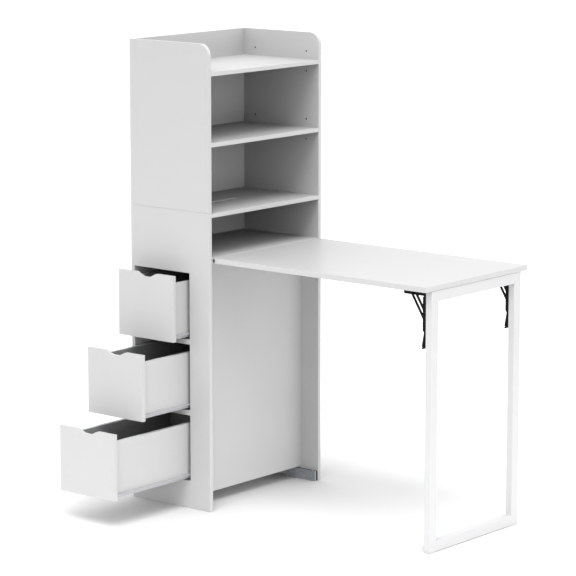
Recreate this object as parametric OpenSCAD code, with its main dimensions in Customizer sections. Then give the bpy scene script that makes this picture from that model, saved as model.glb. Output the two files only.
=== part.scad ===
/* [Cabinet] */
// Depth of the cabinet, back face to the front edges of the sides
cab_d = 300; // [280:1:330]
// Width of the cabinet over both side panels
cab_w = 504; // [480:1:540]
// Height of the side panels and the back panel
cab_h = 1347; // [1250:1:1450]
// Thickness of the carcass boards
board_t = 12; // [10:0.5:16]
// Thickness of the boards between the drawers and of the leaf level
rail_t = 15; // [12:0.5:18]
// Radius of the rounded top front corner of each side
corner_r = 34; // [10:1:60]
// How far the sides stand above the top shelf
gallery_h = 79; // [40:1:140]
// Clear height between the top shelf and the second shelf
bay1_h = 188.6; // [150:0.2:230]
// Clear height between the second shelf and the third shelf
bay2_h = 188.6; // [150:0.2:220]
// Joint line of the upper and lower side pieces above the third shelf
seam_up = 1.6; // [0:0.1:10]
// Front face of the panel behind the folded leaf
recess_x = 234; // [225:1:245]
// Thickness of the panel behind the folded leaf
recess_t = 9; // [9:0.5:12]
// Clear height under the panel behind the folded leaf
toe_h = 35; // [33:1:50]

/* [Drawers] */
// Lower edge of the lowest drawer opening
open_z = 81; // [75:1:95]
// Height of one drawer opening
open_h = 193; // [180:1:196]
// How far the top drawer stands out
out1 = 69; // [0:1:340]
// How far the middle drawer stands out
out2 = 201; // [0:1:340]
// How far the bottom drawer stands out
out3 = 319; // [0:1:340]
// Length of a drawer box behind its front
box_l = 440; // [400:1:450]
// Height of the drawer sides
side_h = 160; // [140:1:165]
// Thickness of the drawer sides and rear
side_t = 12; // [10:0.5:13]
// Thickness of the drawer base
base_t = 5; // [3:0.5:6]
// Width of the finger notch in a drawer front
notch_w = 78; // [60:1:120]
// Depth of the finger notch
notch_d = 12; // [8:0.5:20]

/* [Drawer slides] */
// Room for a slide between a drawer box and the wall of its bay
slide_w = 12.8; // [12.7:0.1:13.5]
// Height of a fixed rail
rail_h = 33.4; // [30:0.1:40]
// Sheet thickness of the fixed rails
rail_s = 1.4; // [1.2:0.1:1.6]
// Sheet thickness of the runners
runner_s = 1.2; // [1:0.1:1.4]
// Radius of the rollers
roller_r = 6.6; // [6.2:0.1:6.8]

/* [Leaf] */
// Top face of the leaf above the floor
leaf_z = 740; // [720:1:780]
// Thickness of the leaf
leaf_t = 15; // [15:0.5:18]
// Outer end of the leaf, from the back of the cabinet
leaf_end = 1054.4; // [1052:0.1:1056]
// Gap between the cabinet's front edges and the leaf
root_gap = 3; // [2:0.1:4]
// Gap between the leaf and each side panel's inner face
leaf_gap = 3; // [2:0.5:6]
// Pivot of the leaf, from the back of the cabinet
pivot_x = 342; // [342:0.5:345]
// Pivot of the leaf below its underside
pivot_drop = 8; // [8:0.5:9]

/* [Leg frame] */
// Depth of the leg tube
tube_d = 20; // [20:0.5:22]
// Width of the leg tube
tube_w = 30; // [25:0.5:32]
// Wall of the leg tube
tube_wall = 1.5; // [1.2:0.1:2]
// How far the leg frame stands back from the outer end of the leaf
leg_inset = 1.4; // [0.5:0.1:3]
// Width of the leg frame
leg_w = 415; // [400:1:430]

/* [Folding brackets] */
// Width of the channel under the leaf
bracket_w = 14; // [13:0.5:16]
// Length of the channel under the leaf
bracket_l = 80; // [70:1:100]
// Sheet thickness of the brackets
sheet_t = 1.5; // [1.2:0.1:1.8]
// Radius of the main pin of a bracket
pin_r = 2.5; // [2:0.1:3]
// Distance from the main pin to the pin of the link along the leaf
link_dx = 46; // [40:1:50]
// Drop of the link's lower end below the main pin
link_drop = 81; // [76:1:83]

/* [Hidden] */
$fn = 48;
leg_x = leaf_end - leg_inset;
org_x = leaf_end / 2;
org_y = (cab_w - out3) / 2;
in_y0 = board_t;
in_y1 = cab_w - board_t;
recess_b = recess_x - recess_t;
shelf1_z = cab_h - gallery_h;
shelf2_z = shelf1_z - board_t - bay1_h;
shelf3_z = shelf2_z - board_t - bay2_h;
seam_z = shelf3_z + seam_up;
seam_w = 0.4;

// shelf pin holes: radius, depth, and their distances from the back panel, the front edge and the shelf
hole_r = 2.5;
hole_depth = 8;
hole_back = 44;
hole_front = 47.3;
hole_up = 23.2;
hole_down = 35.6;

// cable slot in the third shelf: middle, half of its straight part and end radius
cable_x = board_t + 135;
cable_y = cab_w / 2 - 12;
cable_half = 54;
cable_r = 6;

// cut-out for a skirting board in the back panel, and the foot plate with its spacers
skirting_in = 18;
foot_l = 114;
foot_h = 30;
foot_t = 6;
foot_gap = 9;
spacer_r = 6;
spacer_in = 17;

// leaf and its pivot fittings
leaf_under = leaf_z - leaf_t;
leaf_y0 = in_y0 + leaf_gap;
leaf_y1 = in_y1 - leaf_gap;
leaf_root = cab_d + root_gap;
shelf_lip = 1.4;
piv_z = leaf_under - pivot_drop;
pivot_r = 3;
eye_r = 7;
arm_t = 4;
lug_t = 3;
lug_gap = 0.4;
flange_t = 3;
flange_w = 18;
screw_r = 2.2;
arm_screw_in = 16;
lug_root = 12;
lug_tip = 34;
lug_screw_in = 10;
run = 0.05;

// leg frame
leg_y0 = (cab_w - leg_w) / 2;
leg_y1 = leg_y0 + leg_w;
leg_in = leg_x - tube_d;
leg_gap = 0.5;
leg_top = leaf_under - leg_gap;
foot_pad = 1;
plug_h = 18;

// pivot arm beside the post
arm_in = 39.5;
arm_ya = leg_y0 + arm_in;

// folding brackets: channel depth, main pin, link from pin to slot
arm_d = 7;
arm_up = 5;
fit = 0.3;
pin_x = leg_in - arm_d - 1;
pin_drop = 9;
pin_z = leaf_under - pin_drop;
brk_ya = leg_y0 + (tube_w - bracket_w) / 2;
brk_yb = brk_ya + bracket_w;
brk_round = arm_d + 0.5;
pin_head = 1.2;
stud_r = 2;
stud_head = 0.8;
plate_end = 12;
plate_screws = [8, 48];
link_t = 2;
link_gap = 0.4;
stud_out = link_gap + link_t + stud_head;
link_x = pin_x - link_dx;
link_z = pin_z + 0.5;
link_r = 3.5;
slot_x = pin_x + 4;
slot_r = 1.5;
slot_z = pin_z - link_drop;
link_l = sqrt(pow(slot_x - link_x, 2) + pow(link_z - slot_z, 2));
link_a = atan2(link_z - slot_z, slot_x - link_x);
link_off = slot_x - pin_x + link_z - pin_z;
slot_end = pin_z - link_dx - sqrt(pow(link_l, 2) - pow(link_off, 2));

// the underside of the recess panel lies on a circle round the leaf's pivot, and the leg's fittings stay on
// the circle of the leg's inner face or outside it, so that they pass below the panel as the leaf goes down
toe_r = sqrt(pow(pivot_x - recess_x, 2) + pow(piv_z - toe_h, 2));
toe_rise = piv_z - toe_h - sqrt(pow(toe_r, 2) - pow(pivot_x - recess_b, 2));
sweep_r = leg_in - pivot_x;
tail_top = piv_z - pivot_x + recess_x + 0.6;
tail_l = 40.6;
tail_z = tail_top - tail_l;
waist_z = tail_top - 18;
tail_round = 3;
lever_x = pin_x + 1;
lever_z = tail_top - 17.6;
lever_r = 1;
lever_side = 1;
tip_z = tail_z - 3.5;
tip_r = 2.6;
tip_out = 3;
tip_gap = 0.3;

// drawers
pitch = open_h + rail_t;
z3 = open_z;
z2 = open_z + pitch;
z1 = open_z + 2 * pitch;
box_x0 = board_t + slide_w;
box_x1 = recess_b - slide_w;
mid_x = (board_t + recess_b) / 2;
front_gap = 1.3;
front_up = 1;
side_up = 8;
base_up = 16;
notch_n = 12;
notch_bend = 0.41;

// slides: rail above the bay's floor, its ends, its depth, and the heights of rollers and runner
rail_up = 0.6;
rail_in = 2;
rail_short = 22;
rail_w = slide_w - 2.2;
roller_w = 7;
roller_up = 9.4;
roller_in = 12;
axle_r = 2;
runner_up = 6.6;
runner_h = 10.8;
runner_w = 9;
rear_roller_in = 9;
runner_back = 0.4;
roller_side = 0.2;

// colours
board_c = [0.93, 0.93, 0.94];
leaf_c = [0.95, 0.95, 0.96];
tube_c = [0.95, 0.95, 0.96];
plug_c = [0.92, 0.92, 0.93];
slide_c = [0.9, 0.91, 0.93];
arm_c = [0.9, 0.9, 0.91];
steel_c = [0.62, 0.63, 0.65];
bracket_c = [0.06, 0.06, 0.065];
lever_c = [0.08, 0.08, 0.085];

// the floor point under the middle of the whole piece of furniture is the origin
module place() {
    translate([-org_x, -org_y, 0]) children();
}

// a copy on the far side of the middle plane of the leaf
module far_side() {
    translate([0, cab_w, 0]) mirror([0, 1, 0]) children();
}

// where the circle of the leg's inner face lies at height z, from the back of the cabinet
function reach(z) = pivot_x + sqrt(pow(sweep_r, 2) - pow(piv_z - z, 2));

// box from corner a to corner b
module box(a, b) {
    translate(a) cube([b[0] - a[0], b[1] - a[1], b[2] - a[2]]);
}

// round bar along Y
module bar_y(x, z, r, ya, yb) {
    translate([x, ya, z]) rotate([-90, 0, 0]) cylinder(r = r, h = yb - ya);
}

// round bar along X
module bar_x(y, z, r, xa, xb) {
    translate([xa, y, z]) rotate([0, 90, 0]) cylinder(r = r, h = xb - xa);
}

// upright side board between two heights with a rounded top front corner
module side_board(ya, yb, za, zb) {
    box([board_t, ya, za], [cab_d - corner_r, yb, zb]);
    box([cab_d - corner_r - 1, ya, za], [cab_d, yb, zb - corner_r]);
    bar_y(cab_d - corner_r, zb - corner_r, corner_r, ya, yb);
}

// row of shelf pin holes in one side's inner face
module pin_holes(ya, yb) {
    for (z = [shelf1_z, shelf2_z]) {
        for (x = [board_t + hole_back, cab_d - hole_front]) {
            bar_y(x, z + hole_up, hole_r, ya, yb);
            bar_y(x, z - hole_down, hole_r, ya, yb);
        }
    }
}

module back_panel() {
    color(board_c) place() difference() {
        box([0, 0, 0], [board_t, cab_w, cab_h]);
        box([-1, in_y0 + skirting_in, -1], [board_t + 1, in_y1 - skirting_in, toe_h]);
    }
}

module side_left_upper() {
    color(board_c) place() difference() {
        side_board(0, board_t, seam_z + seam_w / 2, cab_h);
        pin_holes(board_t - hole_depth, board_t + 1);
    }
}

module side_left_lower() {
    color(board_c) place() difference() {
        box([board_t, 0, 0], [cab_d, board_t, seam_z - seam_w / 2]);
        box([board_t - 1, -1, open_z], [recess_b, board_t + 1, z1 + open_h]);
    }
}

module side_right() {
    color(board_c) place() difference() {
        side_board(in_y1, cab_w, 0, cab_h);
        pin_holes(in_y1 - 1, in_y1 + hole_depth);
    }
}

// shelf between the sides
module shelf(z, t) {
    box([board_t, in_y0, z - t], [cab_d, in_y1, z]);
}

module shelf_top() {
    color(board_c) place() shelf(shelf1_z, board_t);
}

module shelf_middle() {
    color(board_c) place() shelf(shelf2_z, board_t);
}

module shelf_lower() {
    color(board_c) place() difference() {
        shelf(shelf3_z, board_t);
        box([cable_x - cable_r, cable_y - cable_half, shelf3_z - board_t - 1],
            [cable_x + cable_r, cable_y + cable_half, shelf3_z + 1]);
        for (y = [cable_y - cable_half, cable_y + cable_half]) {
            translate([cable_x, y, shelf3_z - board_t - 1]) cylinder(r = cable_r, h = board_t + 2);
        }
    }
}

module leaf_shelf() {
    color(board_c) place() box([board_t, in_y0, leaf_under], [cab_d + shelf_lip, in_y1, leaf_z]);
}

module recess_panel() {
    color(board_c) place() translate([0, in_y1, 0]) rotate([90, 0, 0])
        linear_extrude(in_y1 - in_y0) polygon([[recess_x, toe_h], [recess_x, leaf_under],
            [recess_b, leaf_under], [recess_b, toe_h + toe_rise]]);
}

module divider_upper() {
    color(board_c) place() box([board_t, 0, z2 + open_h], [recess_b, in_y1, z1]);
}

module divider_lower() {
    color(board_c) place() box([board_t, 0, z3 + open_h], [recess_b, in_y1, z2]);
}

module bottom_board() {
    color(board_c) place() box([board_t, in_y0, open_z - rail_t], [recess_b, in_y1, open_z]);
}

module foot_plate() {
    color(steel_c) place()
        box([cab_d - foot_l, in_y1 - foot_gap - foot_t, 0], [cab_d, in_y1 - foot_gap, foot_h]);
}

module foot_spacers() {
    color(steel_c) place() for (x = [cab_d - foot_l + spacer_in, cab_d - spacer_in]) {
        bar_y(x, foot_h / 2, spacer_r, in_y1 - foot_gap, in_y1);
    }
}

// channel and front roller fixed to one wall of a drawer bay, on the side of larger X
module rail_right(z) {
    ya = in_y0 + rail_in;
    yb = in_y1 - rail_short;
    za = z + rail_up;
    zb = za + rail_h;
    box([recess_b - rail_s, ya, za], [recess_b, yb, zb]);
    box([recess_b - rail_w, ya, zb - rail_s], [recess_b, yb, zb]);
    box([recess_b - rail_w, ya, za], [recess_b, yb, za + rail_s]);
    yr = in_y0 + roller_in;
    xr = recess_b - rail_w + roller_side;
    bar_x(yr, z + roller_up, roller_r, xr, xr + roller_w);
    bar_x(yr, z + roller_up, axle_r, xr + roller_w - 1, recess_b - rail_s / 2);
}

// both fixed rails of one drawer bay
module rails(z) {
    rail_right(z);
    translate([2 * mid_x, 0, 0]) mirror([1, 0, 0]) rail_right(z);
}

module rails_upper() {
    color(slide_c) place() rails(z1);
}

module rails_middle() {
    color(slide_c) place() rails(z2);
}

module rails_lower() {
    color(slide_c) place() rails(z3);
}

// hole for a wood screw through a plate that lies against the underside of the leaf's level
module screw_hole(x, y, t) {
    translate([x, y, leaf_under - t - 1]) cylinder(r = screw_r, h = t + 2);
}

// steel arm under the leaf shelf that carries the pivot of the leaf
module pivot_arm() {
    ya = arm_ya;
    yb = arm_ya + arm_t;
    root = recess_x + 2;
    difference() {
        union() {
            box([root, ya, piv_z - eye_r], [cab_d + shelf_lip, yb, leaf_under]);
            box([cab_d, ya, piv_z - eye_r], [pivot_x, yb, piv_z + 0.5]);
            bar_y(pivot_x, piv_z, eye_r, ya, yb);
            box([root, ya, leaf_under - flange_t], [cab_d - 2, yb + flange_w, leaf_under]);
        }
        bar_y(pivot_x, piv_z, pivot_r + run, ya - 1, yb + 1);
        for (x = [recess_x + arm_screw_in, cab_d - arm_screw_in]) {
            screw_hole(x, yb + flange_w / 2, flange_t);
        }
    }
}

module pivot_arm_near() {
    color(arm_c) place() pivot_arm();
}

module pivot_arm_far() {
    color(arm_c) place() far_side() pivot_arm();
}

module leaf_board() {
    color(leaf_c) place() box([leaf_root, leaf_y0, leaf_under], [leaf_end, leaf_y1, leaf_z]);
}

// lug under the leaf with the pivot pin
module leaf_lug() {
    ya = arm_ya + arm_t + lug_gap;
    yb = ya + lug_t;
    difference() {
        union() {
            box([pivot_x - eye_r, ya, piv_z], [pivot_x + eye_r, yb, leaf_under]);
            bar_y(pivot_x, piv_z, eye_r, ya, yb);
            box([pivot_x - lug_root, ya, leaf_under - flange_t],
                [pivot_x + lug_tip, yb + flange_w, leaf_under]);
            bar_y(pivot_x, piv_z, pivot_r, arm_ya - 1, yb + 1);
            bar_y(pivot_x, piv_z, pivot_r + 2, arm_ya - 2, arm_ya - lug_gap);
        }
        for (x = [pivot_x - lug_root + lug_screw_in, pivot_x + lug_tip - lug_screw_in]) {
            screw_hole(x, yb + flange_w / 2, flange_t);
        }
    }
}

module leaf_lug_near() {
    color(arm_c) place() leaf_lug();
}

module leaf_lug_far() {
    color(arm_c) place() far_side() leaf_lug();
}

// channel under the leaf, with the main pin and the two studs of the link
module bracket_top() {
    x0 = leg_in - bracket_l;
    for (y = [brk_ya, brk_yb - sheet_t]) {
        box([x0, y, pin_z - brk_round], [pin_x, y + sheet_t, leaf_under]);
        box([pin_x - 1, y, pin_z], [pin_x + brk_round, y + sheet_t, leaf_under]);
        bar_y(pin_x, pin_z, brk_round, y, y + sheet_t);
    }
    difference() {
        box([x0, brk_ya, leaf_under - sheet_t], [pin_x - plate_end, brk_yb, leaf_under]);
        for (x = plate_screws) screw_hole(x0 + x, (brk_ya + brk_yb) / 2, sheet_t);
    }
    bar_y(pin_x, pin_z, pin_r, brk_ya - pin_head, brk_yb + pin_head);
    bar_y(link_x, link_z, stud_r, brk_ya - stud_out, brk_ya + 1);
    bar_y(link_x, link_z, stud_r, brk_yb - 1, brk_yb + stud_out);
}

module bracket_top_near() {
    color(bracket_c) place() bracket_top();
}

module bracket_top_far() {
    color(bracket_c) place() far_side() bracket_top();
}

// upright tube of the leg frame, open at both ends
module post() {
    difference() {
        box([leg_in, leg_y0, foot_pad], [leg_x, leg_y0 + tube_w, leg_top]);
        box([leg_in + tube_wall, leg_y0 + tube_wall, 0],
            [leg_x - tube_wall, leg_y0 + tube_w - tube_wall, leaf_under]);
    }
}

module post_near() {
    color(tube_c) place() post();
}

module post_far() {
    color(tube_c) place() far_side() post();
}

// cross tube between the posts
module cross_tube(za) {
    difference() {
        box([leg_in, leg_y0 + tube_w, za], [leg_x, leg_y1 - tube_w, za + tube_w]);
        box([leg_in + tube_wall, leg_y0, za + tube_wall],
            [leg_x - tube_wall, leg_y1, za + tube_w - tube_wall]);
    }
}

module leg_top_rail() {
    color(tube_c) place() cross_tube(leg_top - tube_w);
}

module leg_bottom_rail() {
    color(tube_c) place() cross_tube(foot_pad);
}

// plastic plug with a thin foot in the lower end of a post
module plug() {
    box([leg_in, leg_y0, 0], [leg_x, leg_y0 + tube_w, foot_pad]);
    box([leg_in + tube_wall, leg_y0 + tube_wall, foot_pad / 2],
        [leg_x - tube_wall, leg_y0 + tube_w - tube_wall, plug_h]);
}

module post_caps() {
    color(plug_c) place() {
        plug();
        far_side() plug();
    }
}

// slot in the leg's channel that guides the end of the link
module link_slot() {
    bar_y(slot_x, slot_z, slot_r, brk_ya - 1, brk_yb + 1);
    box([slot_x - slot_r, brk_ya - 1, slot_end], [slot_x + slot_r, brk_yb + 1, slot_z]);
    bar_y(slot_x, slot_end, slot_r, brk_ya - 1, brk_yb + 1);
}

// channel on the inner face of a post, turning on the main pin
module bracket_leg() {
    ya = brk_ya + sheet_t + fit;
    yb = brk_yb - sheet_t - fit;
    difference() {
        union() {
            box([leg_in - sheet_t, ya, tail_top], [leg_in, yb, pin_z + arm_up]);
            for (y = [ya, yb - sheet_t]) {
                bar_y(pin_x, pin_z, arm_d, y, y + sheet_t);
                box([pin_x, y, tail_top], [leg_in, y + sheet_t, pin_z + arm_up]);
                box([pin_x - arm_d, y, tail_top + tail_round], [leg_in, y + sheet_t, pin_z]);
                bar_y(pin_x - arm_d + tail_round, tail_top + tail_round, tail_round, y, y + sheet_t);
                box([pin_x - arm_d + tail_round, y, tail_top], [pin_x, y + sheet_t, tail_top + tail_round]);
            }
        }
        bar_y(pin_x, pin_z, pin_r + run, ya - 1, yb + 1);
        link_slot();
    }
}

module bracket_leg_near() {
    color(bracket_c) place() bracket_leg();
}

module bracket_leg_far() {
    color(bracket_c) place() far_side() bracket_leg();
}

// outline of a cheek at the channel's end, cut back to the circle of the leg's inner face
function cheek() = concat([[leg_in, tail_top]], [for (z = [tail_top, tail_top - 9, waist_z]) [reach(z), z]],
    [[pin_x, waist_z - 13], [pin_x, tail_z + 3], [pin_x + 3, tail_z], [leg_in, tail_z]]);

// end of the leg's channel, wide enough for the lever
module bracket_tail() {
    difference() {
        union() {
            box([leg_in - sheet_t, brk_ya, tail_z], [leg_in, brk_yb, tail_top]);
            for (y = [brk_ya, brk_yb - sheet_t]) {
                translate([0, y + sheet_t, 0]) rotate([90, 0, 0]) linear_extrude(sheet_t) polygon(cheek());
            }
        }
        link_slot();
    }
    bar_y(lever_x, lever_z, lever_r, brk_ya, brk_yb);
}

module bracket_tail_near() {
    color(bracket_c) place() bracket_tail();
}

module bracket_tail_far() {
    color(bracket_c) place() far_side() bracket_tail();
}

// release lever between the cheeks of the channel's end, with two thumb tips
module lever() {
    ya = brk_ya + sheet_t + lever_side;
    yb = brk_yb - sheet_t - lever_side;
    tip_x = max(reach(tip_z - tip_r), pin_x - pin_drop) + tip_gap + tip_r;
    outline = [[reach(lever_z + 5) + 0.4, lever_z + 5], [leg_in - sheet_t - 1, lever_z + 4],
        [leg_in - 5, lever_z - 10], [tip_x + 2, tip_z], [tip_x - 1, tip_z],
        [reach(lever_z - 8) + 0.4, lever_z - 8]];
    difference() {
        translate([0, yb, 0]) rotate([90, 0, 0]) linear_extrude(yb - ya) polygon(outline);
        bar_y(lever_x, lever_z, lever_r + run, ya - 1, yb + 1);
    }
    bar_y(tip_x, tip_z, tip_r, brk_ya - tip_out, brk_yb + tip_out);
}

module lever_near() {
    color(lever_c) place() lever();
}

module lever_far() {
    color(lever_c) place() far_side() lever();
}

// pair of flat bars from the channel under the leaf to the slot in the leg's channel
module link() {
    translate([link_x, 0, link_z]) rotate([0, link_a, 0]) {
        for (y = [brk_ya - link_gap - link_t, brk_yb + link_gap]) {
            difference() {
                union() {
                    box([0, y, -link_r], [link_l, y + link_t, link_r]);
                    bar_y(0, 0, link_r, y, y + link_t);
                    bar_y(link_l, 0, link_r, y, y + link_t);
                }
                bar_y(0, 0, stud_r + run, y - 1, y + link_t + 1);
            }
        }
    }
    bar_y(slot_x, slot_z, stud_r, brk_ya - stud_out, brk_ya - 1);
    bar_y(slot_x, slot_z, stud_r, brk_yb + 1, brk_yb + stud_out);
}

module link_near() {
    color(bracket_c) place() link();
}

module link_far() {
    color(bracket_c) place() far_side() link();
}

// depth of the finger notch over one flank, from 0 at its edge to 1 at its bottom
function dip(t) = pow(sin(90 * t), 1.25);

// outline of one flank of the finger notch, from its edge to its bottom, to one side of xm
function flank(xm, zt, side) = [for (i = [0:notch_n])
    [xm + side * notch_w * (0.5 - notch_bend * i / notch_n), zt - notch_d * dip(i / notch_n)]];

// the same points in the opposite order
function turned(points) = [for (i = [len(points) - 1:-1:0]) points[i]];

module front(z, out) {
    xa = board_t + front_gap;
    xb = recess_b - front_gap;
    za = z + front_up;
    zb = z + open_h - front_up;
    translate([0, board_t - out, 0]) rotate([90, 0, 0]) linear_extrude(board_t)
        polygon(concat([[xa, za], [xa, zb]], flank(mid_x, zb, -1), turned(flank(mid_x, zb, 1)),
            [[xb, zb], [xb, za]]));
}

module box_side(z, out, xa) {
    box([xa, board_t - out, z + side_up], [xa + side_t, board_t - out + box_l, z + side_up + side_h]);
}

module rear(z, out) {
    box([box_x0 + side_t, board_t - out + box_l - side_t, z + base_up + base_t],
        [box_x1 - side_t, board_t - out + box_l, z + side_up + side_h]);
}

module base(z, out) {
    box([box_x0 + side_t, board_t - out, z + base_up],
        [box_x1 - side_t, board_t - out + box_l, z + base_up + base_t]);
}

// rail and rear roller fixed to one side of a drawer box, on the side of larger X
module runner_right(z, out) {
    ya = board_t - out + runner_back;
    yb = board_t - out + box_l;
    za = z + runner_up;
    zb = za + runner_h;
    yr = yb - rear_roller_in;
    zr = z + roller_up - 0.2;
    box([box_x1, ya, za], [box_x1 + runner_s, yb, zb]);
    box([box_x1 - side_t, ya, za], [box_x1 + runner_s, yb, z + side_up]);
    box([box_x1, ya, zb - runner_s], [box_x1 + runner_w, yb, zb]);
    bar_x(yr, zr, roller_r, box_x1 + runner_w - roller_r, box_x1 + runner_w);
    bar_x(yr, zr, axle_r, box_x1 + runner_s / 2, box_x1 + 3);
}

module runners(z, out) {
    runner_right(z, out);
    translate([2 * mid_x, 0, 0]) mirror([1, 0, 0]) runner_right(z, out);
}

module front_upper() {
    color(board_c) place() front(z1, out1);
}

module side_back_upper() {
    color(board_c) place() box_side(z1, out1, box_x0);
}

module side_front_upper() {
    color(board_c) place() box_side(z1, out1, box_x1 - side_t);
}

module rear_upper() {
    color(board_c) place() rear(z1, out1);
}

module base_upper() {
    color(board_c) place() base(z1, out1);
}

module runners_upper() {
    color(slide_c) place() runners(z1, out1);
}

module front_middle() {
    color(board_c) place() front(z2, out2);
}

module side_back_middle() {
    color(board_c) place() box_side(z2, out2, box_x0);
}

module side_front_middle() {
    color(board_c) place() box_side(z2, out2, box_x1 - side_t);
}

module rear_middle() {
    color(board_c) place() rear(z2, out2);
}

module base_middle() {
    color(board_c) place() base(z2, out2);
}

module runners_middle() {
    color(slide_c) place() runners(z2, out2);
}

module front_lower() {
    color(board_c) place() front(z3, out3);
}

module side_back_lower() {
    color(board_c) place() box_side(z3, out3, box_x0);
}

module side_front_lower() {
    color(board_c) place() box_side(z3, out3, box_x1 - side_t);
}

module rear_lower() {
    color(board_c) place() rear(z3, out3);
}

module base_lower() {
    color(board_c) place() base(z3, out3);
}

module runners_lower() {
    color(slide_c) place() runners(z3, out3);
}

back_panel();
side_left_upper();
side_left_lower();
side_right();
shelf_top();
shelf_middle();
shelf_lower();
leaf_shelf();
recess_panel();
divider_upper();
divider_lower();
bottom_board();
foot_plate();
foot_spacers();
rails_upper();
rails_middle();
rails_lower();
pivot_arm_near();
pivot_arm_far();
leaf_board();
leaf_lug_near();
leaf_lug_far();
bracket_top_near();
bracket_top_far();
post_near();
post_far();
leg_top_rail();
leg_bottom_rail();
post_caps();
bracket_leg_near();
bracket_leg_far();
bracket_tail_near();
bracket_tail_far();
lever_near();
lever_far();
link_near();
link_far();
front_upper();
side_back_upper();
side_front_upper();
rear_upper();
base_upper();
runners_upper();
front_middle();
side_back_middle();
side_front_middle();
rear_middle();
base_middle();
runners_middle();
front_lower();
side_back_lower();
side_front_lower();
rear_lower();
base_lower();
runners_lower();
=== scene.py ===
"""Looks of a white storage cabinet with three side drawers and a fold-down desk leaf on a leg frame."""

import math

import bpy
import bmesh
from mathutils import Matrix, Vector


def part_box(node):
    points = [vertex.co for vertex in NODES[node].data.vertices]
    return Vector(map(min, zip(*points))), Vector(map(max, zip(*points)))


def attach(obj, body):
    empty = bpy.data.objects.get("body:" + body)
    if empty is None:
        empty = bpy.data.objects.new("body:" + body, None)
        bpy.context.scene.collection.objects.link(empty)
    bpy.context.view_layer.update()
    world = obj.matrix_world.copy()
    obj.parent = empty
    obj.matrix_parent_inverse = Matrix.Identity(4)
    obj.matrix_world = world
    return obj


bl_info = {
    "name": "Storage cabinet with fold-down desk",
    "version": (1, 0, 0),
    "blender": (4, 5, 0),
    "location": "3D View > Sidebar > Desk cabinet",
    "description": "Finishes, fittings and studio of a cabinet with drawers and a folding leaf",
    "category": "Object",
}

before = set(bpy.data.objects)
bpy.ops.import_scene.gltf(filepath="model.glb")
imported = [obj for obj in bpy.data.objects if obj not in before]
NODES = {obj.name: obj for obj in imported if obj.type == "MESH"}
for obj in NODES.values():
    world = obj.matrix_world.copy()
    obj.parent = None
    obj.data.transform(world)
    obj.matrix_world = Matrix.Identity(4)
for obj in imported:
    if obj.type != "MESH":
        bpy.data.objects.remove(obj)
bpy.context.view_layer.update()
MM = 0.001
LEVELS = ("upper", "middle", "lower")
ENDS = ("near", "far")

# Sides of a round fitting. The cross recess in its top: width and length as shares of the top's diameter, and
# how deep it is in a screw and in a cam
ROUND_SIDES = 24
CROSS_WIDTH = 0.2
CROSS_LENGTH = 0.8
SCREW_RECESS = 1.0 * MM
CAM_RECESS = 1.2 * MM
# Points of a CAD skin closer than this are one point, so that the edge between them can be rounded
SAME_POINT = 0.005 * MM
# Edges that turn more than this, in degrees, are rounded on a CAD part, and drawn sharp on an added piece
ROUNDED_OVER = 50
SHARP_OVER = 35
# Above these cosines a surface counts as a board's face, and as the inside of a drawer that gets painted shade
FACE_COSINE = 0.8
INSIDE_COSINE = 0.9
# A cloud lightens a finish by this share of what another darkens it
CLOUD_LIFT = 0.3
# An edging is glossier than its board: its roughness as a share of the board's
EDGING_ROUGHNESS = 0.75
# Darkest and brightest flake of a zinc spangle
SPANGLE_TONES = (0.86, 1.06)
# Streaks are drawn out along the height: their width as a share of their length
STREAK_SLIMNESS = 0.02

# Outline of a bracket's outer cheek in mm: distance from the post's face, and height over the bracket's foot.
# Its lower part follows the circle on which the bracket's end passes under the panel behind the leaf.
CHEEK_OUTLINE = [(0, 0.5), (-14.6, 0.5), (-13.3, 11), (-11.3, 21), (-9.6, 31), (-8.1, 40), (-8.1, 40.6),
                 (-9.1, 42.2), (-12.2, 47), (-12.2, 137.2), (-11.0, 138.6), (0, 138.6)]

# Strength of the white room on a surface. A ray that has met more than two surfaces gets no light from it.
FILL = 0.9
FILL_DEPTH = 2.5
# The floor's glow on the object: its strength, the radii in metres between which it fades out, and the power
# by which it fades where something stands over the floor
FLOOR_GLOW = 0.72
POOL = (1.0, 3.0)
FLOOR_FADE = 2.0
# Strength of a painted glow that makes the open floor whiter to the camera, and the power by which that fades near
# the object
CAMERA_GLOW = 0.2
CAMERA_GLOW_FADE = 3.0
# How far in metres the floor looks for what stands over it, and how far the painted contact shadow spreads
OVERHEAD = 1.2
CONTACT_SHADE_REACH = 0.1
# The painted contact shadow's tone right at a contact, and the openness from which on the floor has its full tone
CONTACT_SHADE_TONE = 0.1
SHADOW_FREE_OPENNESS = 0.4
# Soft key lamp: azimuth and elevation it shines from and its angular size in degrees, and its strength
KEY_FROM = (38, 62)
KEY_SOFTNESS = 35
KEY_STRENGTH = 1.35
# Low white card in front: its place and what it points at, its side in metres, and its power in watts
CARD_PLACE = Vector((4.5, -1.0, 0.3))
CARD_AIM = Vector((-0.25, 0.0, 0.6))
CARD_SIDE = 1.2
CARD_WATTS = 24.0
# Light of the lamps goes from one surface on to one more at most
LAMP_BOUNCES = 1
# Camera: its lens and sensor in mm, the nearest and farthest it sees in metres, its place, and the direction from
# what it looks at back to it
CAMERA_LENS = 173.98
CAMERA_SENSOR = 36
CAMERA_CLIP = (0.5, 200)
CAMERA_PLACE = (4.90027, -5.94183, 2.03711)
CAMERA_BACK = Vector((0.62748, -0.75873, 0.17490))
WHITE = (1.0, 1.0, 1.0, 1.0)


def linear(code):
    """Linear RGB of an sRGB colour written as 0xRRGGBB."""
    parts = ((code >> shift & 255) / 255 for shift in (16, 8, 0))
    return tuple(c / 12.92 if c <= 0.04045 else ((c + 0.055) / 1.055) ** 2.4 for c in parts)


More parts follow.
